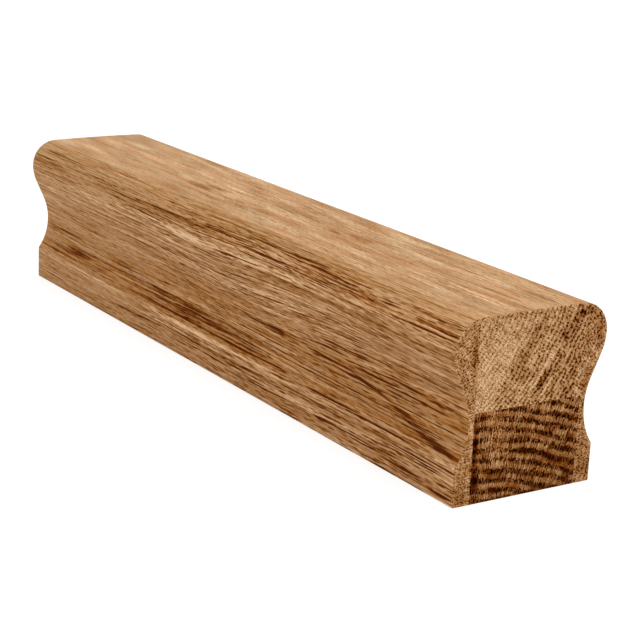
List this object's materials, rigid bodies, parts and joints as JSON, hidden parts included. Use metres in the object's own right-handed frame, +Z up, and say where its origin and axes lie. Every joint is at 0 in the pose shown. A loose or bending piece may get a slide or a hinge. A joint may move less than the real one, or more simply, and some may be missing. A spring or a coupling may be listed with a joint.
{
  "type": "wooden handrail",
  "caption": "Straight length of oak stair handrail, glued up from staves and moulded with a rounded top and a finger cove along each side.",
  "frame": {"origin": "middle of the flat underside, half way along the rail", "axes": "+X along the rail to the end that the picture shows near, +Z up from the underside to the crown, +Y across the rail to its right side seen from the far end"},
  "size_m": [0.3, 0.059, 0.0595],
  "materials": {
    "oak_light": "sanded bare oak, light stave",
    "oak_dark": "sawn bare oak, dark stave with mineral stain",
    "oak_cheek": "sanded bare oak, open pores"
  },
  "bodies": {
    "root": {"upper_core": "oak_light", "lower_core": "oak_dark", "left_cheek": "oak_cheek", "right_cheek": "oak_cheek"}
  },
  "joints": []
}
